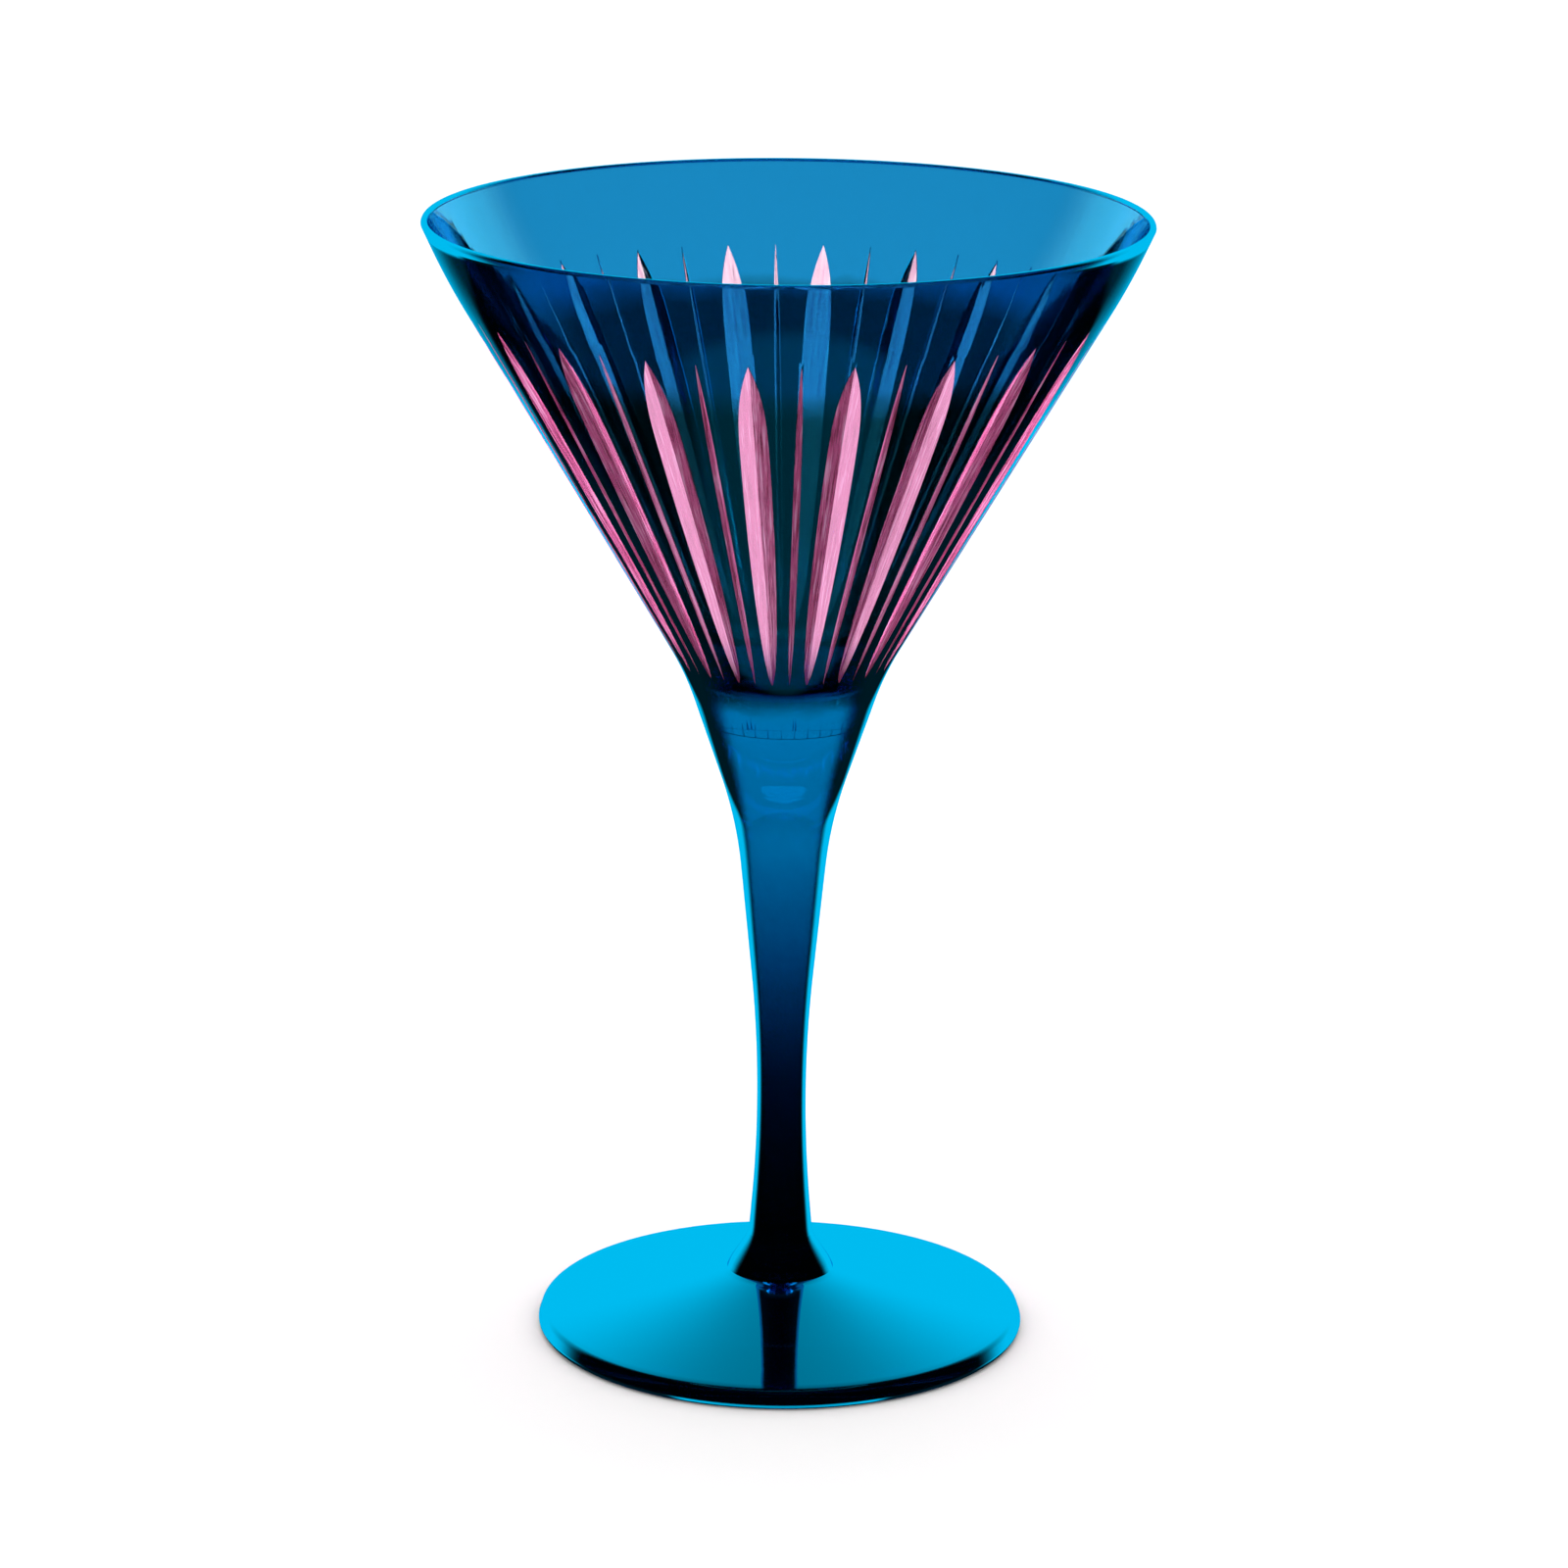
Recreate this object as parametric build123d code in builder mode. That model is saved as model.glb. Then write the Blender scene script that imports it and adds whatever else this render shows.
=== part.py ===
from build123d import *

import math
import os

# Cased and cut martini glass, in millimetres.
# +Z is up. The origin is the middle of the ring on the underside that the glass rests on.
# A clear crystal body in three gathers (foot, stem and bowl) has a thin blue casing outside.
# Wide and narrow flutes are ground through the bowl's casing, and each is lined with rose enamel.

# Driving dimensions
RIM_HEIGHT = 175.0
LIP_BASE_RADIUS = 54.65
LIP_BASE_HEIGHT = 174.35
LIP_THICKNESS = 1.15
STEM_JOINT_HEIGHT = 98.0
FOOT_JOINT_HEIGHT = 15.0
CASING_THICKNESS = 0.3
LINING_THICKNESS = 0.12

# The straight part of the bowl's wall, as radius and height at its two ends
WALL_FOOT = (15.3, 105.6)
WALL_TOP = (51.05, 166.5)

# Outer surface from the foot's lower edge up to the lip: its corners, and the radius that rounds each
OUTER_CORNERS = [
    (37.3, 0.3),
    (37.85, 1.0),
    (37.2, 3.0),
    (8.25, 9.3),
    (7.75, 10.4),
    (5.0, 14.6),
    (2.95, 39.0),
    (7.24, 81.9),
    WALL_FOOT,
    WALL_TOP,
    (LIP_BASE_RADIUS, LIP_BASE_HEIGHT),
]
OUTER_ROUNDINGS = [0.6, 1.1, 0.25, 4.0, 5.0, 200.0, 65.0, 45.0, 100.0]

# Underside of the foot: a flat ring to rest on, around a shallow hollow
REST_RING_OUTER_RADIUS = 36.9
REST_RING_INNER_RADIUS = 31.0
HOLLOW_HEIGHT = 1.8

# Inside of the bowl
CAVITY_TOP = (49.75, 166.5)
CAVITY_SHOULDER = (19.5, 116.9)
CAVITY_FLOOR_EDGE = (7.2, 104.0)
CAVITY_ROUNDINGS = [100.0, 25.0, 9.0]

# Flutes: equally spaced pairs of a wide one and a narrow one
FLUTE_PAIRS = 20
FIRST_WIDE_ANGLE = -78.6
FIRST_NARROW_ANGLE = -87.6

# Each kind of flute is a mitre groove: the angle between its two sides, and how deep its keel lies
# below the straight wall at a few heights, less than nothing where the wheel is clear of the glass
WIDE_GROOVE_ANGLE = 150.6
WIDE_KEEL = [
    (164.0, -0.15),
    (157.0, 0.38),
    (147.0, 0.55),
    (128.0, 0.5),
    (115.0, 0.32),
    (110.0, 0.2),
    (106.0, -0.22),
]
NARROW_GROOVE_ANGLE = 116.0
NARROW_KEEL = [(164.0, -0.17), (158.0, 0.34), (112.0, 0.34), (106.0, -0.22)]
WHEEL_CLEARANCE = 1.0

# Wider and taller than the glass, for dividing its section at the joints
SECTION_REACH = 200.0


def flute_cut(groove_angle, keel, inset):
    """What the wheel grinds away along one flute, at angle 0, with both sides drawn in by inset."""
    wall_foot, wall_top = Vector(WALL_FOOT[0], 0, WALL_FOOT[1]), Vector(WALL_TOP[0], 0, WALL_TOP[1])
    up_wall = (wall_top - wall_foot).normalized()
    outward = Vector(up_wall.Z, 0, -up_wall.X)
    half_angle = math.radians(groove_angle / 2)
    rings = []
    for height, wheel_depth in keel:
        share = (height - wall_foot.Z) / (wall_top.Z - wall_foot.Z)
        on_wall = wall_foot + (wall_top - wall_foot) * share
        depth = wheel_depth - inset / math.sin(half_angle)
        half_width = Vector(0, (depth + WHEEL_CLEARANCE) * math.tan(half_angle), 0)
        clear_of_wall = on_wall + outward * WHEEL_CLEARANCE
        rings.append((on_wall - outward * depth, clear_of_wall - half_width, clear_of_wall + half_width))
    faces = [Face(Wire.make_polygon(rings[0])), Face(Wire.make_polygon(rings[-1]))]
    for upper, lower in zip(rings, rings[1:]):
        for here, there in ((0, 1), (1, 2), (2, 0)):
            corners = [upper[here], upper[there], lower[there], lower[here]]
            faces.append(Face(Wire.make_polygon(corners)))
    return Solid(Shell(faces))


# Half section of the whole glass, from the axis outwards
with BuildSketch(Plane.XZ) as glass_section:
    with BuildLine():
        FilletPolyline(*OUTER_CORNERS, radius=OUTER_ROUNDINGS)
        lip_inside = (LIP_BASE_RADIUS - LIP_THICKNESS, LIP_BASE_HEIGHT)
        lip_crown = (LIP_BASE_RADIUS - LIP_THICKNESS / 2, RIM_HEIGHT)
        ThreePointArc((LIP_BASE_RADIUS, LIP_BASE_HEIGHT), lip_crown, lip_inside)
        cavity_floor = (0, CAVITY_FLOOR_EDGE[1])
        cavity_corners = [lip_inside, CAVITY_TOP, CAVITY_SHOULDER, CAVITY_FLOOR_EDGE, cavity_floor]
        FilletPolyline(*cavity_corners, radius=CAVITY_ROUNDINGS)
        Line(cavity_floor, (0, HOLLOW_HEIGHT))
        TangentArc((0, HOLLOW_HEIGHT), (REST_RING_INNER_RADIUS, 0), tangent=(1, 0))
        Line((REST_RING_INNER_RADIUS, 0), (REST_RING_OUTER_RADIUS, 0))
        Line((REST_RING_OUTER_RADIUS, 0), OUTER_CORNERS[0])
    make_face()

# Half section of the blue casing, a band of even thickness along the outer surface
with BuildSketch(Plane.XZ) as casing_section:
    with BuildLine():
        outer_surface = FilletPolyline(*OUTER_CORNERS, radius=OUTER_ROUNDINGS)
        offset(outer_surface, amount=CASING_THICKNESS, side=Side.LEFT)
    make_face()

# The three gathers of the glass, by the heights that they lie between
GATHERS = {
    "foot": (-SECTION_REACH, FOOT_JOINT_HEIGHT),
    "stem": (FOOT_JOINT_HEIGHT, STEM_JOINT_HEIGHT),
    "bowl": (STEM_JOINT_HEIGHT, SECTION_REACH),
}


def turned(section, gather, *cutting_sections):
    """One gather's stretch of a half section, less any cutting sections, turned about the axis."""
    low, high = GATHERS[gather]
    with BuildPart() as solid:
        with BuildSketch(Plane.XZ) as stretch:
            add(section.sketch_local)
            for cutting_section in cutting_sections:
                add(cutting_section.sketch_local, mode=Mode.SUBTRACT)
            with Locations((0, low)):
                Rectangle(SECTION_REACH, high - low, align=Align.MIN, mode=Mode.INTERSECT)
        revolve(axis=Axis.Z)
    return solid.part


os.makedirs("parts", exist_ok=True)

# Foot and stem: crystal inside, casing outside
with BuildPart() as foot_crystal:
    add(turned(glass_section, "foot", casing_section))
foot_crystal.part.label = "foot_crystal"
export_step(foot_crystal.part, "parts/foot_crystal.step")

with BuildPart() as foot_blue_casing:
    add(turned(casing_section, "foot"))
foot_blue_casing.part.label = "foot_blue_casing"
export_step(foot_blue_casing.part, "parts/foot_blue_casing.step")

with BuildPart() as stem_crystal:
    add(turned(glass_section, "stem", casing_section))
stem_crystal.part.label = "stem_crystal"
export_step(stem_crystal.part, "parts/stem_crystal.step")

with BuildPart() as stem_blue_casing:
    add(turned(casing_section, "stem"))
stem_blue_casing.part.label = "stem_blue_casing"
export_step(stem_blue_casing.part, "parts/stem_blue_casing.step")

# Bowl: the flutes go through the casing and into the crystal
wide_flute = flute_cut(WIDE_GROOVE_ANGLE, WIDE_KEEL, 0)
narrow_flute = flute_cut(NARROW_GROOVE_ANGLE, NARROW_KEEL, 0)

with BuildPart() as bowl_crystal:
    add(turned(glass_section, "bowl", casing_section))
    with PolarLocations(0, FLUTE_PAIRS, start_angle=FIRST_WIDE_ANGLE):
        add(wide_flute, mode=Mode.SUBTRACT)
    with PolarLocations(0, FLUTE_PAIRS, start_angle=FIRST_NARROW_ANGLE):
        add(narrow_flute, mode=Mode.SUBTRACT)
bowl_crystal.part.label = "bowl_crystal"
export_step(bowl_crystal.part, "parts/bowl_crystal.step")

with BuildPart() as bowl_blue_casing:
    add(turned(casing_section, "bowl"))
    with PolarLocations(0, FLUTE_PAIRS, start_angle=FIRST_WIDE_ANGLE):
        add(wide_flute, mode=Mode.SUBTRACT)
    with PolarLocations(0, FLUTE_PAIRS, start_angle=FIRST_NARROW_ANGLE):
        add(narrow_flute, mode=Mode.SUBTRACT)
bowl_blue_casing.part.label = "bowl_blue_casing"
export_step(bowl_blue_casing.part, "parts/bowl_blue_casing.step")

# Rose linings: what a flute takes out of the bowl, less the same cut drawn in by the lining's thickness
wide_hollow = flute_cut(WIDE_GROOVE_ANGLE, WIDE_KEEL, LINING_THICKNESS)
narrow_hollow = flute_cut(NARROW_GROOVE_ANGLE, NARROW_KEEL, LINING_THICKNESS)
LINING_KINDS = {
    "wide": (wide_flute, wide_hollow, FIRST_WIDE_ANGLE),
    "narrow": (narrow_flute, narrow_hollow, FIRST_NARROW_ANGLE),
}
for kind, (flute, hollow, first_angle) in LINING_KINDS.items():
    with BuildPart() as first_lining:
        add(turned(glass_section, "bowl"))
        add(flute, mode=Mode.INTERSECT)
        add(hollow, mode=Mode.SUBTRACT)
    for number in range(FLUTE_PAIRS):
        with BuildPart() as lining:
            add(first_lining.part, rotation=(0, 0, first_angle + number * 360 / FLUTE_PAIRS))
        lining.part.label = f"rose_lining_{kind}_{number + 1:02d}"
        export_step(lining.part, f"parts/{lining.part.label}.step")
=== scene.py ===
"""Looks of the cased and cut martini glass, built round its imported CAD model. Lengths are in metres."""

import math

import bpy
import numpy as np
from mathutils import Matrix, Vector


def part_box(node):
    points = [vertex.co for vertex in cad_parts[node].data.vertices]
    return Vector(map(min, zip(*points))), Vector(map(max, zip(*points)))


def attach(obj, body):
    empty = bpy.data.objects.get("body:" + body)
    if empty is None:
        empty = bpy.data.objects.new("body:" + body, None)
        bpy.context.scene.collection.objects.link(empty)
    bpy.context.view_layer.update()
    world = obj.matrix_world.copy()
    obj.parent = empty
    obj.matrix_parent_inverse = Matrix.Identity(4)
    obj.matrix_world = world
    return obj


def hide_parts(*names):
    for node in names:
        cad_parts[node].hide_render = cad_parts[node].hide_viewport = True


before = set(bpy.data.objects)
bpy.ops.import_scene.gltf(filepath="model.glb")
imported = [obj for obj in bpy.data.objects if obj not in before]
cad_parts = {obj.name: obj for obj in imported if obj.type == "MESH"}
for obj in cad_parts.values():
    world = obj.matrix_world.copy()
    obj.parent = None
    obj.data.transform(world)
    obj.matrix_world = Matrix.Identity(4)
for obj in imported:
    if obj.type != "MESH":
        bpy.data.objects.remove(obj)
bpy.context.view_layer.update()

# ---------------------------------------------------------------------------------------------
# The glass's sizes
# ---------------------------------------------------------------------------------------------
MM = 0.001
RIM_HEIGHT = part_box("bowl_crystal")[1][2]
STEM_JOINT_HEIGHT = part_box("stem_crystal")[1][2]
FOOT_JOINT_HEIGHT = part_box("foot_crystal")[1][2]
LIP_BASE_RADIUS = 54.65 * MM
LIP_BASE_HEIGHT = 174.35 * MM
LIP_THICKNESS = 1.15 * MM
CASING_THICKNESS = 0.3 * MM
LINING_THICKNESS = 0.12 * MM
AIR_GAP = 0.02 * MM

# Outer surface from the foot's lower edge up to the lip: radius, height, and the radius that rounds it
OUTER_CORNERS = [
    (37.3 * MM, 0.3 * MM, 0),
    (37.85 * MM, 1.0 * MM, 0.6 * MM),
    (37.2 * MM, 3.0 * MM, 1.1 * MM),
    (8.25 * MM, 9.3 * MM, 0.25 * MM),
    (7.75 * MM, 10.4 * MM, 4.0 * MM),
    (5.0 * MM, 14.6 * MM, 5.0 * MM),
    (2.95 * MM, 39.0 * MM, 200.0 * MM),
    (7.24 * MM, 81.9 * MM, 65.0 * MM),
    (15.3 * MM, 105.6 * MM, 45.0 * MM),
    (51.05 * MM, 166.5 * MM, 100.0 * MM),
    (LIP_BASE_RADIUS, LIP_BASE_HEIGHT, 0),
]
# Inside of the bowl, from the lip down to the axis, in the same way
CAVITY_CORNERS = [
    (LIP_BASE_RADIUS - LIP_THICKNESS, LIP_BASE_HEIGHT, 0),
    (49.75 * MM, 166.5 * MM, 100.0 * MM),
    (19.5 * MM, 116.9 * MM, 25.0 * MM),
    (7.2 * MM, 104.0 * MM, 9.0 * MM),
    (0, 104.0 * MM, 0),
]
REST_RING_OUTER_RADIUS = 36.9 * MM
REST_RING_INNER_RADIUS = 31.0 * MM
HOLLOW_HEIGHT = 1.8 * MM

# The foot's rounded edge ends at EDGE_END, and the even steps up its cone begin at CONE_START.
# Above WALL_START the outer surface has one radius at each height.
WALL_START = 3.0 * MM
EDGE_END = 3.4 * MM
CONE_START = 3.5 * MM

# Flutes: equally spaced pairs of a wide one and a narrow one
FLUTE_PAIRS = 20
PERIOD = 2 * math.pi / FLUTE_PAIRS
FIRST_NARROW_ANGLE = math.radians(-87.6)
FLUTE_TOP = 162.0 * MM
FLUTE_FOOT = 107.3 * MM
WIDEST_HEIGHT = 147.0 * MM
WIDE_HALF_WIDTH = 2.1 * MM
WIDE_GROOVE_SLOPE = 0.262
NARROW_HALF_WIDTH = 0.5 * MM
NARROW_GROOVE_SLOPE = 0.625

# Powers that shape a flute: how rounded its sides are, and how full and how blunt its ends are
GROOVE_ROUNDNESS = 1.15
WIDE_TOP_FULLNESS = 3
WIDE_FOOT_FULLNESS = 2
WIDE_FOOT_BLUNTNESS = 0.6
NARROW_END_FULLNESS = 3.5
NARROW_END_BLUNTNESS = 0.8

# Fineness of the meshes
ARC_STEP = 1.0 * MM
ARC_TURN = 0.15
FEWEST_ARC_STEPS = 4
OUTLINE_STEP = 1.0 * MM
FINE_OUTLINE_STEP = 0.1 * MM
CAVITY_STEP = 1.2 * MM
CONE_STEP = 0.6 * MM
WALL_STEP = 0.8 * MM
FLUTE_STEP = 0.55 * MM
TIP_HALF_WIDTH = 0.02 * MM
COLUMN_SPREAD = 0.5
WIDE_CELLS, NARROW_CELLS, LAND_CELLS = 8, 4, 4
TURNED_COLUMNS = 192
UNDERSIDE_STEPS = 24
LIP_STEPS = 11
SHARP_ANGLE = 35.0
LINING_SHARP_ANGLE = 16.0
NEAR_AXIS = 1e-9
LEVEL_NORMAL = 0.999


# ---------------------------------------------------------------------------------------------
# Outlines
# ---------------------------------------------------------------------------------------------
def rounded(corners, longest_step):
    """A line through (radius, height, rounding) corners, with no step longer than longest_step."""
    points = [np.array(corners[0][:2])]
    for before, here, after in zip(corners, corners[1:], corners[2:]):
        corner, rounding = np.array(here[:2]), here[2]
        back, on = np.array(before[:2]) - corner, np.array(after[:2]) - corner
        back, on = back / np.linalg.norm(back), on / np.linalg.norm(on)
        half = math.acos(max(-1.0, min(1.0, float(back @ on)))) / 2
        reach = rounding / math.tan(half)
        centre = corner + (back + on) / np.linalg.norm(back + on) * rounding / math.sin(half)
        start, end = corner + back * reach - centre, corner + on * reach - centre
        sweep = math.atan2(start[0] * end[1] - start[1] * end[0], float(start @ end))
        by_length, by_turn = abs(sweep) * rounding / ARC_STEP, abs(sweep) / ARC_TURN
        steps = max(FEWEST_ARC_STEPS, math.ceil(by_length), math.ceil(by_turn))
        for step in range(steps + 1):
            turn = sweep * step / steps
            x = start[0] * math.cos(turn) - start[1] * math.sin(turn)
            y = start[0] * math.sin(turn) + start[1] * math.cos(turn)
            points.append(centre + np.array([x, y]))
    points.append(np.array(corners[-1][:2]))
    return np.array(even_steps(points, longest_step))


def even_steps(points, longest_step):
    """The same line with no step longer than longest_step."""
    line = [points[0]]
    for here, there in zip(points, points[1:]):
        parts = max(1, math.ceil(np.linalg.norm(there - here) / longest_step))
        line += [here + (there - here) * part / parts for part in range(1, parts + 1)]
    return line


OUTLINE = rounded(OUTER_CORNERS, OUTLINE_STEP)
FINE_OUTLINE = rounded(OUTER_CORNERS, FINE_OUTLINE_STEP)
CAVITY = rounded(CAVITY_CORNERS, CAVITY_STEP)


def outline_between(low, high, step):
    """The outer surface's points from one height to another, evenly stepped."""
    lengths = np.linalg.norm(np.diff(FINE_OUTLINE, axis=0), axis=1)
    run = np.concatenate([[0], np.cumsum(lengths)])
    wall = FINE_OUTLINE[:, 1] >= WALL_START
    start = np.interp(low, FINE_OUTLINE[wall, 1], run[wall])
    end = np.interp(high, FINE_OUTLINE[wall, 1], run[wall])
    places = np.linspace(start, end, max(2, math.ceil((end - start) / step) + 1))
    return np.stack([np.interp(places, run, FINE_OUTLINE[:, axis]) for axis in (0, 1)], axis=1)


def normals_of(points):
    """Outward normals of a line that runs upwards outside the glass."""
    along = np.gradient(points, axis=0)
    along /= np.linalg.norm(along, axis=1)[:, None]
    return np.stack([along[:, 1], -along[:, 0]], axis=1)


# ---------------------------------------------------------------------------------------------
# Meshes
# ---------------------------------------------------------------------------------------------
def mesh_object(name, points, faces, material_numbers=None, sharp_angle=SHARP_ANGLE):
    """A smooth-shaded object from points and faces, without the points that no face uses."""
    used = sorted({index for face in faces for index in face})
    place = {index: number for number, index in enumerate(used)}
    corners = [tuple(points[index]) for index in used]
    mesh = bpy.data.meshes.new(name)
    mesh.from_pydata(corners, [], [[place[index] for index in face] for face in faces])
    if material_numbers:
        mesh.polygons.foreach_set("material_index", material_numbers)
    mesh.validate()
    mesh.polygons.foreach_set("use_smooth", [True] * len(mesh.polygons))
    mesh.set_sharp_from_angle(angle=math.radians(sharp_angle))
    mesh.update()
    obj = bpy.data.objects.new(name, mesh)
    bpy.context.scene.collection.objects.link(obj)
    return obj


def turned_points(section, angles):
    """Section points (n, 2) turned to the angles, as an (n, columns, 3) grid."""
    radius, height = section[:, 0][:, None], section[:, 1][:, None]
    return np.stack([radius * np.cos(angles), radius * np.sin(angles), height + 0 * angles], axis=2)


def turned_solid(name, section):
    """A closed section (n, 2) turned about the axis. Its first and last points may lie on the axis."""
    angles = np.linspace(0, 2 * math.pi, TURNED_COLUMNS, endpoint=False)[None, :]
    first_on_axis, last_on_axis = section[0, 0] < NEAR_AXIS, section[-1, 0] < NEAR_AXIS
    return closed_rings(name, turned_points(section, angles), first_on_axis, last_on_axis)


def closed_rings(name, grid, first_on_axis, last_on_axis):
    """A closed mesh from rings of points. A ring on the axis is one point.
    Unless both end rings are on the axis, the last ring joins the first."""
    rings, columns = grid.shape[:2]
    index = np.arange(rings * columns).reshape(rings, columns)
    if first_on_axis:
        index[0, :] = index[0, 0]
    if last_on_axis:
        index[-1, :] = index[-1, 0]
    pairs = [(ring, ring + 1) for ring in range(rings - 1)]
    if not (first_on_axis and last_on_axis):
        pairs.append((rings - 1, 0))
    faces = []
    for lower, upper in pairs:
        for column in range(columns):
            after = (column + 1) % columns
            corners = [index[lower, column], index[lower, after], index[upper, after], index[upper, column]]
            face = list(dict.fromkeys(int(corner) for corner in corners))
            if len(face) > 2:
                faces.append(face)
    return mesh_object(name, grid.reshape(-1, 3), faces)


def shell(name, outer, inner, kept, sharp_angle=SHARP_ANGLE):
    """A closed shell between two (rows, columns, 3) grids, over the cells that are kept.
    Its outer faces have material 0, and the others have material 1."""
    rows, columns = outer.shape[:2]
    points = np.concatenate([outer.reshape(-1, 3), inner.reshape(-1, 3)])
    out = np.arange(rows * columns).reshape(rows, columns)
    into = out + rows * columns
    outside, others = [], []
    for row, column in zip(*np.nonzero(kept)):
        after = (column + 1) % columns
        corners = [(row, column), (row, after), (row + 1, after), (row + 1, column)]
        open_sides = [
            row == 0 or not kept[row - 1, column],
            not kept[row, after],
            row == rows - 2 or not kept[row + 1, column],
            not kept[row, column - 1],
        ]
        outside.append([out[corner] for corner in corners])
        others.append([into[corners[number]] for number in (0, 3, 2, 1)])
        for number, is_open in enumerate(open_sides):
            if is_open:
                here, there = corners[number], corners[(number + 1) % 4]
                others.append([out[here], into[here], into[there], out[there]])
    faces = [[int(index) for index in face] for face in outside + others]
    return mesh_object(name, points, faces, [0] * len(outside) + [1] * len(others), sharp_angle)


# ---------------------------------------------------------------------------------------------
# The bowl's wall as a grid whose columns follow the flutes
# ---------------------------------------------------------------------------------------------
def wide_half_width(height):
    """Half the width of a wide flute: a long lancet, pointed at both ends."""
    above = np.clip((height - WIDEST_HEIGHT) / (FLUTE_TOP - WIDEST_HEIGHT), 0, 1)
    below = np.clip((WIDEST_HEIGHT - height) / (WIDEST_HEIGHT - FLUTE_FOOT), 0, 1)
    towards_foot = (1 - below**WIDE_FOOT_FULLNESS) ** WIDE_FOOT_BLUNTNESS
    return WIDE_HALF_WIDTH * (1 - above**WIDE_TOP_FULLNESS) * towards_foot


def narrow_half_width(height):
    """Half the width of a narrow flute: parallel sides, pointed at both ends."""
    middle, half_length = (FLUTE_TOP + FLUTE_FOOT) / 2, (FLUTE_TOP - FLUTE_FOOT) / 2
    share = np.clip(np.abs(height - middle) / half_length, 0, 1)
    return NARROW_HALF_WIDTH * (1 - share**NARROW_END_FULLNESS) ** NARROW_END_BLUNTNESS


def column_half_width(height, half_width):
    """Half the width of a flute's columns at each height. Past the flute's ends they open again."""
    past = np.maximum(height - FLUTE_TOP, FLUTE_FOOT - height)
    spread = np.minimum(TIP_HALF_WIDTH + COLUMN_SPREAD * np.maximum(past, 0), WIDE_HALF_WIDTH / 2)
    return np.where(past > 0, spread, np.maximum(half_width, TIP_HALF_WIDTH))


below_flutes = outline_between(STEM_JOINT_HEIGHT, FLUTE_FOOT, WALL_STEP)
along_flutes = outline_between(FLUTE_FOOT, FLUTE_TOP, FLUTE_STEP)
above_flutes = outline_between(FLUTE_TOP, LIP_BASE_HEIGHT, WALL_STEP)
WALL = np.concatenate([below_flutes, along_flutes[1:], above_flutes[1:]])
WALL_NORMALS = normals_of(WALL)
FIRST_FLUTE_ROW = len(below_flutes) - 1
LAST_FLUTE_ROW = FIRST_FLUTE_ROW + len(along_flutes) - 1


def wall_columns():
    """Angles and groove depths of the wall, both (rows, columns), and the flute that each cell is in."""
    radius, height = WALL[:, 0], WALL[:, 1]
    wide, narrow = wide_half_width(height), narrow_half_width(height)
    wide_reach = column_half_width(height, wide) / radius
    narrow_reach = column_half_width(height, narrow) / radius
    land = PERIOD / 2 - narrow_reach - wide_reach
    flutes = [
        ("narrow", NARROW_CELLS, narrow_reach, narrow * NARROW_GROOVE_SLOPE),
        ("wide", WIDE_CELLS, wide_reach, wide * WIDE_GROOVE_SLOPE),
    ]
    angles, depths, cell_flutes = [], [], []
    for pair in range(FLUTE_PAIRS):
        for number, (kind, cells, reach, keel_depth) in enumerate(flutes):
            middle = FIRST_NARROW_ANGLE + (pair + number / 2) * PERIOD
            for cell in range(cells):
                across = -1 + 2 * cell / cells
                angles.append(middle + across * reach)
                depths.append((1 - abs(across) ** GROOVE_ROUNDNESS) * keel_depth)
                cell_flutes.append((kind, pair))
            for cell in range(LAND_CELLS):
                angles.append(middle + reach + land * cell / LAND_CELLS)
                depths.append(0 * radius)
                cell_flutes.append(None)
    return np.stack(angles, axis=1), np.stack(depths, axis=1), cell_flutes


ANGLES, GROOVE_DEPTHS, CELL_FLUTES = wall_columns()


def wall_points(depth):
    """The wall's grid at a depth below the outer surface; depth is one value or a (rows, columns) grid."""
    depth = depth + 0 * ANGLES
    radius = WALL[:, 0][:, None] - WALL_NORMALS[:, 0][:, None] * depth
    height = WALL[:, 1][:, None] - WALL_NORMALS[:, 1][:, None] * depth
    return np.stack([radius * np.cos(ANGLES), radius * np.sin(ANGLES), height], axis=2)


def flute_cells(flute=None):
    """The cells of one (kind, pair) flute, or of all flutes."""
    cells = np.zeros((len(WALL) - 1, ANGLES.shape[1]), bool)
    for column, cell_flute in enumerate(CELL_FLUTES):
        if cell_flute and flute in (None, cell_flute):
            cells[FIRST_FLUTE_ROW:LAST_FLUTE_ROW, column] = True
    return cells


# ---------------------------------------------------------------------------------------------
# Materials
# ---------------------------------------------------------------------------------------------
GLASS_IOR = 1.5

# The blue film's see-through tint by its share of the glass's height. Its blue is the film's own, but its
# steps are painted light and shade: it is densest, as painted shade, where the bowl is cut and low on the
# stem, and clearest up the trumpet and above the flutes
FILM_TINTS_AND_PAINTED_SHADE = [
    (0.000, (0.02, 0.14, 0.24)),
    (0.060, (0.02, 0.10, 0.16)),
    (0.220, (0.02, 0.20, 0.32)),
    (0.340, (0.03, 0.44, 0.60)),
    (0.450, (0.04, 0.60, 0.76)),
    (0.580, (0.04, 0.64, 0.80)),
    (0.610, (0.04, 0.22, 0.25)),
    (0.875, (0.04, 0.22, 0.25)),
    (0.902, (0.10, 0.50, 0.73)),
    (1.000, (0.10, 0.50, 0.73)),
]
ASLANT_TINT = (0.0, 0.08, 0.14, 1)
BLUE_LUSTRE = (0.0, 0.46, 0.80, 1)
RIM_SHIFT = 0.40

CRYSTAL_TINT = (0.985, 0.995, 1.0, 1)
CRYSTAL_SHINE = (0.2, 0.75, 1.0, 1)
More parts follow.
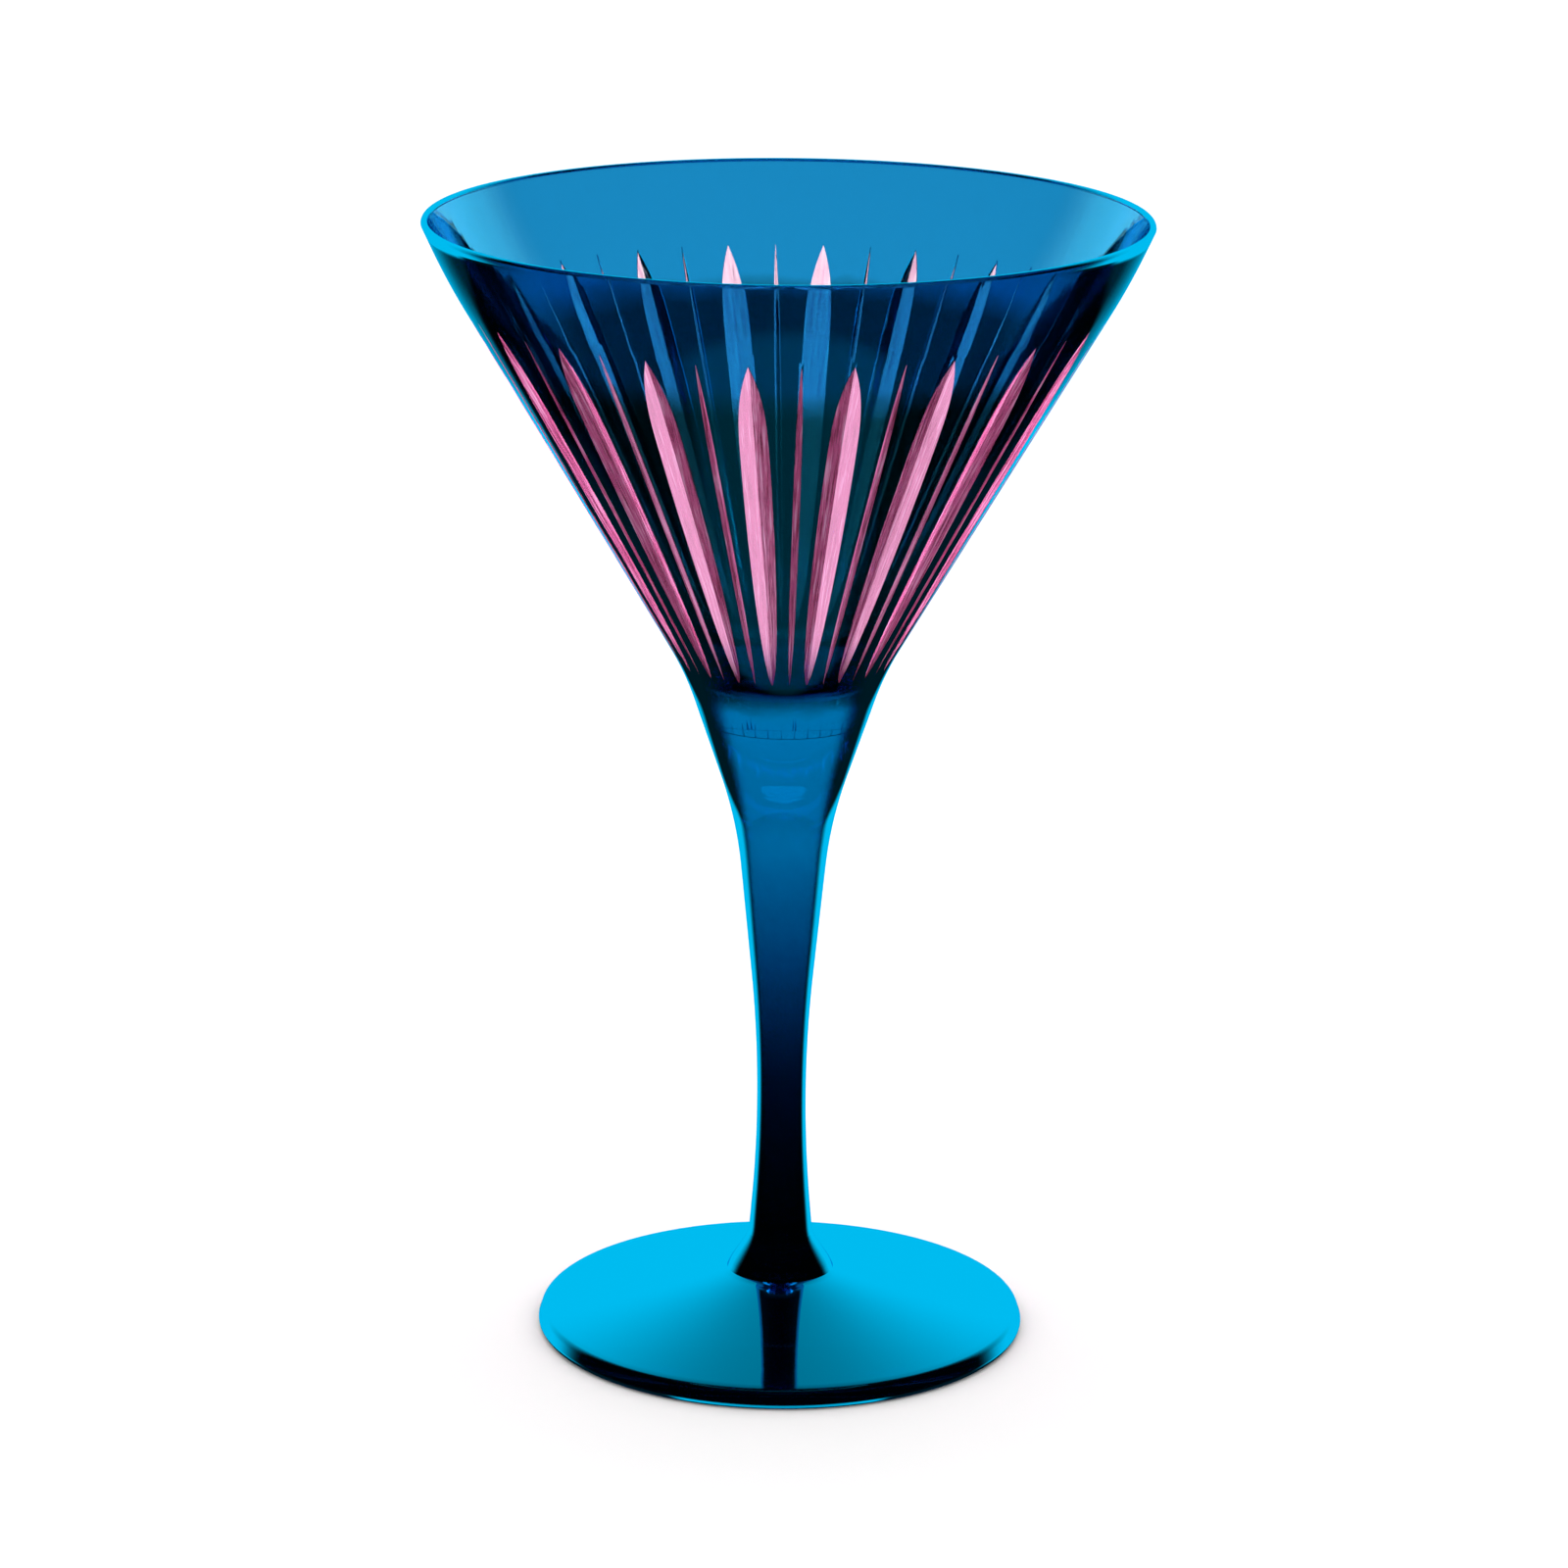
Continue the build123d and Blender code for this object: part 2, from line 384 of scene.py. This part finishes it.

# The enamel's colours across its streaks, as it is lit from outside and as it glows from behind. The lit
# colours are painted shade and highlight, from a shaded maroon to a highlight pink.
ENAMEL_SHADE_TO_HIGHLIGHT = [(0.32, (0.28, 0.02, 0.08)), (0.50, (0.68, 0.12, 0.34)), (0.68, (1.0, 0.48, 0.80))]
ENAMEL_GLOW = [(0.32, (0.19, 0.10, 0.145)), (0.50, (0.235, 0.155, 0.19)), (0.68, (0.28, 0.22, 0.245))]
# A dark see-through stain, used mostly at the flutes' feet as painted shade
ENAMEL_STAIN = (0.62, 0.06, 0.20, 1)
ROSE_LUSTRE = (1.0, 0.42, 0.74, 1)
ROSE_GLOSS = (1, 0.92, 0.97, 1)


class Nodes:
    """A short way to write a node tree: each method adds a node and returns its output socket."""

    def __init__(self, tree):
        self.tree = tree
        tree.nodes.clear()

    def add(self, kind, out, settings=None, **sockets):
        """A node with its settings and input sockets. A socket called _0 is the node's first one."""
        node = self.tree.nodes.new(kind)
        for name, value in (settings or {}).items():
            setattr(node, name, value)
        for name, value in sockets.items():
            socket = node.inputs[int(name[1:])] if name[0] == "_" else node.inputs[name]
            if isinstance(value, bpy.types.NodeSocket):
                self.tree.links.new(value, socket)
            else:
                socket.default_value = value
        return node.outputs[out]

    def math(self, operation, *values):
        sockets = {f"_{number}": value for number, value in enumerate(values)}
        return self.add("ShaderNodeMath", 0, {"operation": operation}, **sockets)

    def ramp(self, factor, stops, interpolation="EASE"):
        out = self.add("ShaderNodeValToRGB", 0, Fac=factor)
        ramp = out.node.color_ramp
        ramp.interpolation = interpolation
        while len(ramp.elements) < len(stops):
            ramp.elements.new(0.5)
        for element, (place, colour) in zip(ramp.elements, stops):
            element.position = place
            element.color = (*colour, 1)
        return out

    def map_range(self, value, span, to_span, interpolation="SMOOTHSTEP"):
        """The value, with one span of it turned into another and held at that one's ends."""
        settings = {"interpolation_type": interpolation, "clamp": True}
        ends = {"_1": span[0], "_2": span[1], "_3": to_span[0], "_4": to_span[1]}
        return self.add("ShaderNodeMapRange", 0, settings, _0=value, **ends)

    def mix(self, factor, first, second):
        return self.add("ShaderNodeMixShader", 0, _0=factor, _1=first, _2=second)


def new_material(name):
    material = bpy.data.materials.new(name)
    material.use_nodes = True
    return material, Nodes(material.node_tree)


def finish_material(nodes, surface):
    output = nodes.tree.nodes.new("ShaderNodeOutputMaterial")
    nodes.tree.links.new(surface, output.inputs["Surface"])


def lustre_film(name, rim_shift):
    """The blue casing: a see-through coloured film with a mirror's lustre on its outer side.
    Towards the rim the lustre starts at a more grazing angle, by rim_shift."""
    material, n = new_material(name)
    place = n.add("ShaderNodeTexCoord", "Object")
    height = n.add("ShaderNodeSeparateXYZ", 2, Vector=place)
    cloud = n.add("ShaderNodeTexNoise", 0, Vector=place, Scale=90.0, Detail=4.0, Roughness=0.6)
    drift = n.math("MULTIPLY_ADD", cloud, 4 * MM, -2 * MM)
    share = n.math("DIVIDE", n.math("ADD", height, drift), RIM_HEIGHT)
    wave = n.add("ShaderNodeTexNoise", 0, Vector=place, Scale=160.0, Detail=2.0)
    skin = n.add("ShaderNodeBump", 0, Strength=0.04, Distance=0.2 * MM, Height=wave)
    rough = n.map_range(cloud, (0.3, 0.7), (0.015, 0.05))
    facing = n.add("ShaderNodeLayerWeight", "Facing", Blend=0.5)

    # The see-through tint steps with height as painted light and shade: denser through the fluted band and
    # low on the stem, clearer up the trumpet and above the flutes
    straight_through = n.add("ShaderNodeBsdfTransparent", 0, Color=n.ramp(share, FILM_TINTS_AND_PAINTED_SHADE, "LINEAR"))
    aslant_through = n.add("ShaderNodeBsdfTransparent", 0, Color=ASLANT_TINT)
    aslant = n.map_range(facing, (0.36, 0.75), (0.0, 0.9))
    see_through = n.mix(aslant, straight_through, aslant_through)

    mirror = n.add("ShaderNodeBsdfAnisotropic", 0, Color=BLUE_LUSTRE, Roughness=rough, Normal=skin)
    near_rim = n.map_range(height, (125 * MM, 158 * MM), (0.0, rim_shift))
    below_crown = (LIP_BASE_HEIGHT - 1.6 * MM, LIP_BASE_HEIGHT - 0.4 * MM)
    off_crown = n.map_range(height, below_crown, (1.0, 0.0))
    grazing = n.math("SUBTRACT", facing, n.math("MULTIPLY", near_rim, off_crown))
    lustre = n.map_range(grazing, (0.32, 0.62), (0.03, 0.97))
    outer_side = n.math("SUBTRACT", 1.0, n.add("ShaderNodeNewGeometry", "Backfacing"))
    finish_material(n, n.mix(n.math("MULTIPLY", lustre, outer_side), see_through, mirror))
    return material


def clear_crystal():
    """The body: clear crystal with the faintest trace of polishing."""
    material, n = new_material("clear_crystal")
    place = n.add("ShaderNodeTexCoord", "Object")
    cloud = n.add("ShaderNodeTexNoise", 0, Vector=place, Scale=220.0, Detail=3.0)
    rough = n.map_range(cloud, (0.45, 0.75), (0.0, 0.02))
    inside = n.add("ShaderNodeBsdfRefraction", 0, Color=CRYSTAL_TINT, Roughness=rough, IOR=GLASS_IOR)
    shine = n.add("ShaderNodeBsdfAnisotropic", 0, Color=CRYSTAL_SHINE, Roughness=rough)
    fresnel = n.add("ShaderNodeFresnel", 0, IOR=GLASS_IOR)
    finish_material(n, n.mix(fresnel, inside, shine))
    return material


def fused_joint():
    """Nothing shows where two gathers of crystal are fused, or where a lining lies on the crystal."""
    material, n = new_material("fused_joint")
    finish_material(n, n.add("ShaderNodeBsdfTransparent", 0, Color=(1, 1, 1, 1)))
    return material


def rose_enamel():
    """The flutes' lining: translucent rose enamel with the wheel's fine streaks along each flute, in bumps
    and in colour; the streaks' colours are painted shade and highlight, from a shaded maroon to a highlight
    pink.
    Towards a flute's foot it turns to a dark see-through stain with little lustre, which paints shade at
    the bottom of the flutes, and higher up it has more lustre."""
    material, n = new_material("rose_enamel")
    place = n.add("ShaderNodeTexCoord", "Object")
    x, y, z = n.add("ShaderNodeSeparateXYZ", 0, Vector=place).node.outputs
    along = n.add("ShaderNodeCombineXYZ", 0, X=n.math("ARCTAN2", y, x), Y=n.math("MULTIPLY", z, 1.2))
    streak = n.add("ShaderNodeTexNoise", 0, Vector=along, Scale=90.0, Detail=3.0, Roughness=0.65)
    skin = n.add("ShaderNodeBump", 0, Strength=0.3, Distance=0.1 * MM, Height=streak)
    # The streaks' lit colours are painted shade and painted highlight: shaded maroon through to highlight
    # pink.
    body = n.add("ShaderNodeBsdfDiffuse", 0, Color=n.ramp(streak, ENAMEL_SHADE_TO_HIGHLIGHT), Roughness=0.3, Normal=skin)
    glow = n.add("ShaderNodeBsdfTranslucent", 0, Color=n.ramp(streak, ENAMEL_GLOW), Normal=skin)
    stain = n.add("ShaderNodeBsdfTransparent", 0, Color=ENAMEL_STAIN)
    lustre = n.add("ShaderNodeBsdfAnisotropic", 0, Color=ROSE_LUSTRE, Roughness=0.08, Normal=skin)
    gloss = n.add("ShaderNodeBsdfAnisotropic", 0, Color=ROSE_GLOSS, Roughness=0.06, Normal=skin)
    fresnel = n.add("ShaderNodeFresnel", 0, IOR=GLASS_IOR, Normal=skin)

    within = n.add("ShaderNodeNewGeometry", "Backfacing")
    through = n.map_range(within, (0.0, 1.0), (0.12, 0.90), "LINEAR")
    # Painted shade at the flutes' feet: there the enamel turns to a dark see-through stain and loses most
    # of its lustre
    up_flute = n.map_range(z, (FLUTE_FOOT, FLUTE_FOOT + 10 * MM), (0.0, 1.0))
    foot_shade_stain = n.map_range(up_flute, (0.0, 1.0), (0.80, 0.12), "LINEAR")
    lustrous = n.map_range(up_flute, (0.0, 1.0), (0.08, 0.5), "LINEAR")
    enamel = n.mix(foot_shade_stain, n.mix(through, body, glow), stain)
    finish_material(n, n.mix(fresnel, n.mix(lustrous, enamel, lustre), gloss))
    return material


CRYSTAL = clear_crystal()
JOINT = fused_joint()
FILM = lustre_film("blue_lustre", RIM_SHIFT)
FILM_INSIDE = lustre_film("blue_lustre_inside", 0.0)
ENAMEL = rose_enamel()


# ---------------------------------------------------------------------------------------------
# Pieces
# ---------------------------------------------------------------------------------------------
def make_piece(obj, node, materials, joint_heights=()):
    """Dresses a mesh, and lets it stand for its CAD node.
    Its flat faces at joint_heights get the second material."""
    for material in materials:
        obj.data.materials.append(material)
    for face in obj.data.polygons:
        at_joint = any(abs(face.center.z - height) < AIR_GAP for height in joint_heights)
        if at_joint and abs(face.normal.z) > LEVEL_NORMAL:
            face.material_index = 1
    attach(obj, "root")
    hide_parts(node)


def band(low, high):
    """The outer surface between two heights, from the foot's lower edge where low is 0."""
    if low > 0:
        return outline_between(low, high, WALL_STEP)
    edge = OUTLINE[OUTLINE[:, 1] < EDGE_END]
    return np.concatenate([edge, outline_between(CONE_START, high, CONE_STEP)])


def inside_band(low, high, depth):
    """The same, drawn in by a depth, with the ends that meet another gather kept level."""
    outer = band(low, high)
    line = outer - normals_of(outer) * depth
    line[-1, 1] = high
    if low > 0:
        line[0, 1] = low
    return line


def casing_band(node, low, high):
    inner = inside_band(low, high, CASING_THICKNESS)
    body = turned_solid(node + "_body", np.concatenate([band(low, high), inner[::-1]]))
    make_piece(body, node, [FILM])


def underside():
    """The foot's underside from the axis out: a shallow hollow, then the ring that it rests on."""
    radius = REST_RING_INNER_RADIUS * np.linspace(0, 1, UNDERSIDE_STEPS)
    sphere = (REST_RING_INNER_RADIUS**2 + HOLLOW_HEIGHT**2) / (2 * HOLLOW_HEIGHT)
    height = HOLLOW_HEIGHT - (sphere - np.sqrt(sphere**2 - radius**2))
    hollow = np.stack([radius, height], axis=1)
    return np.concatenate([hollow, [[REST_RING_OUTER_RADIUS, 0]]])


def make_foot_and_stem():
    casing_band("foot_blue_casing", 0, FOOT_JOINT_HEIGHT)
    casing_band("stem_blue_casing", FOOT_JOINT_HEIGHT, STEM_JOINT_HEIGHT)
    crystal_depth = CASING_THICKNESS + AIR_GAP
    foot_side = inside_band(0, FOOT_JOINT_HEIGHT, crystal_depth)
    foot_section = np.concatenate([underside(), foot_side, [[0, FOOT_JOINT_HEIGHT]]])
    foot = turned_solid("foot_crystal_body", foot_section)
    make_piece(foot, "foot_crystal", [CRYSTAL, JOINT], [FOOT_JOINT_HEIGHT])
    stem_side = inside_band(FOOT_JOINT_HEIGHT, STEM_JOINT_HEIGHT, crystal_depth)
    stem_section = np.concatenate([[[0, FOOT_JOINT_HEIGHT]], stem_side, [[0, STEM_JOINT_HEIGHT]]])
    stem = turned_solid("stem_crystal_body", stem_section)
    joint_heights = [FOOT_JOINT_HEIGHT, STEM_JOINT_HEIGHT]
    make_piece(stem, "stem_crystal", [CRYSTAL, JOINT], joint_heights)


def lip_arc(depth):
    """The lip's round crown from outside to inside, at a depth below its surface.
    Its inner end is on the surface."""
    turns = np.linspace(0, math.pi, LIP_STEPS)
    drop = depth * (1 + np.cos(turns)) / 2
    middle = LIP_BASE_RADIUS - LIP_THICKNESS / 2
    radius = middle + (LIP_THICKNESS / 2 - drop) * np.cos(turns)
    height = LIP_BASE_HEIGHT + (RIM_HEIGHT - LIP_BASE_HEIGHT - drop) * np.sin(turns)
    return np.stack([radius, height], axis=1)


def make_bowl():
    angles = ANGLES[-1][None, :]
    over_lip = lip_arc(0)[1:-1]
    under_lip = lip_arc(CASING_THICKNESS)[1:-1]
    cut = flute_cells()
    kept = np.concatenate([~cut, np.ones((len(over_lip), cut.shape[1]), bool)])
    outer = np.concatenate([wall_points(0), turned_points(over_lip, angles)])
    inner = np.concatenate([wall_points(CASING_THICKNESS), turned_points(under_lip, angles)])
    inner[0, :, 2] = STEM_JOINT_HEIGHT
    casing = shell("bowl_blue_casing_body", outer, inner, kept)
    make_piece(casing, "bowl_blue_casing", [FILM, FILM_INSIDE])

    ground_depths = np.maximum(GROOVE_DEPTHS + LINING_THICKNESS, CASING_THICKNESS)
    wall = wall_points(ground_depths + AIR_GAP)
    wall[0, :, 2] = STEM_JOINT_HEIGHT
    lip_and_cavity = np.concatenate([lip_arc(CASING_THICKNESS + AIR_GAP), CAVITY])
    bottom = turned_points(np.array([[0, STEM_JOINT_HEIGHT]]), angles)
    rings = np.concatenate([bottom, wall, turned_points(lip_and_cavity, angles)])
    body = closed_rings("bowl_crystal_body", rings, True, True)
    make_piece(body, "bowl_crystal", [CRYSTAL, JOINT], [STEM_JOINT_HEIGHT])

    surface, back = wall_points(GROOVE_DEPTHS), wall_points(ground_depths)
    linings = bpy.data.collections.new("rose_linings")
    for kind in ("wide", "narrow"):
        for pair in range(FLUTE_PAIRS):
            node = f"rose_lining_{kind}_{pair + 1:02d}"
            cells = flute_cells((kind, pair))
            lining = shell(node + "_enamel", surface, back, cells, LINING_SHARP_ANGLE)
            linings.objects.link(lining)
            make_piece(lining, node, [ENAMEL, JOINT])
    return linings


# ---------------------------------------------------------------------------------------------
# Floor, light and camera
# ---------------------------------------------------------------------------------------------
FLOOR_REACH = 12.0
FLOOR_TONE = (0.56, 0.56, 0.56, 1)
WHITE = (1, 1, 1, 1)
PLAIN_STRENGTH = 0.96
STUDIO_STRENGTH = 1.1
OVERHEAD_PLACE, OVERHEAD_SIZE, OVERHEAD_POWER = (0.0, 0.15, 1.6), 1.1, 11.0
SIDE_DISTANCE, SIDE_BEHIND, SIDE_HEIGHT = 0.51, 0.32, 0.14
SIDE_SIZE, SIDE_POWER = 0.20, 50.0
CAMERA_PLACE = (0, -0.830, 0.321)
CAMERA_LENS_IN_MM = 129.5
CAMERA_SENSOR_IN_MM = 36.0
CAMERA_ROLL = math.radians(0.47)
MIDDLE = Vector((0, 0, RIM_HEIGHT / 2))


def aimed_at_middle(obj):
    """Turns a light or the camera, from where it stands, to the middle of the glass."""
    obj.rotation_euler = (MIDDLE - obj.location).to_track_quat("-Z", "Y").to_euler()


def make_floor():
    mesh = bpy.data.meshes.new("floor")
    corners = [(x * FLOOR_REACH, y * FLOOR_REACH, 0) for x, y in ((-1, -1), (1, -1), (1, 1), (-1, 1))]
    mesh.from_pydata(corners, [], [(0, 1, 2, 3)])
    floor = bpy.data.objects.new("floor", mesh)
    bpy.context.scene.collection.objects.link(floor)
    material, n = new_material("pale_floor")
    finish_material(n, n.add("ShaderNodeBsdfDiffuse", 0, Color=FLOOR_TONE))
    mesh.materials.append(material)
    floor.visible_glossy = False


def make_world():
    """A white studio that each kind of ray sees in its own way. Camera rays see a plain white.
    Reflected and refracted rays see a backdrop behind the glass, which fades upwards and ends at the
    table's edge, and a faint ceiling. Reflected rays also see the table straight below.
    Diffuse rays see a tent that is open towards the camera."""
    world = bpy.data.worlds.new("studio")
    bpy.context.scene.world = world
    world.use_nodes = True
    n = Nodes(world.node_tree)
    direction = n.add("ShaderNodeTexCoord", "Generated")
    x, y, z = n.add("ShaderNodeSeparateXYZ", 0, Vector=direction).node.outputs
    path = n.add("ShaderNodeLightPath", 0).node.outputs

    behind = n.map_range(y, (0.25, 0.55), (0.0, 1.0))
    above_edge = n.math("MULTIPLY_ADD", n.math("ABSOLUTE", x), 0.25, z)
    above_table = n.map_range(above_edge, (-0.322, -0.290), (0.0, 1.0))
    fading = n.map_range(z, (0.60, 1.10), (1.0, 0.30))
    backdrop = n.math("MULTIPLY", n.math("MULTIPLY", behind, above_table), fading)
    overhead = n.map_range(z, (0.80, 0.95), (0.0, 0.12))
    table = n.map_range(z, (-0.925, -0.890), (1.2, 0.02))
    shown_table = n.math("MULTIPLY", table, n.math("SUBTRACT", 1.0, path["Is Transmission Ray"]))
    lit = n.math("MAXIMUM", backdrop, overhead)
    strength = n.math("MULTIPLY_ADD", lit, STUDIO_STRENGTH, shown_table)

    tent_sides = n.map_range(y, (-0.40, 0.40), (0.10, 1.7))
    tent_top = n.map_range(z, (0.20, 0.60), (0.0, 2.0))
    tent_strength = n.math("MAXIMUM", tent_sides, tent_top)

    plain, studio, tent = [
        n.add("ShaderNodeBackground", 0, Color=WHITE, Strength=value)
        for value in (PLAIN_STRENGTH, strength, tent_strength)
    ]
    soft = n.mix(path["Is Diffuse Ray"], studio, tent)
    output = n.tree.nodes.new("ShaderNodeOutputWorld")
    n.tree.links.new(n.mix(path["Is Camera Ray"], soft, plain), output.inputs["Surface"])


def make_light(name, place, size, power, receivers=None):
    """A round softbox aimed at the glass, which lights everything or only the receivers collection."""
    light = bpy.data.lights.new(name, "AREA")
    light.shape = "DISK"
    light.size = size
    light.energy = power
    obj = bpy.data.objects.new(name, light)
    obj.location = place
    aimed_at_middle(obj)
    bpy.context.scene.collection.objects.link(obj)
    if receivers:
        obj.light_linking.receiver_collection = receivers


def make_camera():
    camera = bpy.data.cameras.new("camera")
    camera.lens = CAMERA_LENS_IN_MM
    camera.sensor_width = CAMERA_SENSOR_IN_MM
    obj = bpy.data.objects.new("camera", camera)
    obj.location = CAMERA_PLACE
    aimed_at_middle(obj)
    obj.rotation_euler.rotate_axis("Z", CAMERA_ROLL)
    bpy.context.scene.collection.objects.link(obj)
    bpy.context.scene.camera = obj


make_foot_and_stem()
rose_linings = make_bowl()
make_floor()
make_world()
make_light("overhead_softbox", OVERHEAD_PLACE, OVERHEAD_SIZE, OVERHEAD_POWER)
for side, name in ((-1, "left_softbox"), (1, "right_softbox")):
    place = (side * SIDE_DISTANCE, SIDE_BEHIND, SIDE_HEIGHT)
    make_light(name, place, SIDE_SIZE, SIDE_POWER, rose_linings)
make_camera()

scene = bpy.context.scene
scene.view_settings.view_transform = "Standard"
scene.cycles.max_bounces = 24
scene.cycles.transmission_bounces = 16
scene.cycles.glossy_bounces = 8
scene.cycles.transparent_max_bounces = 40
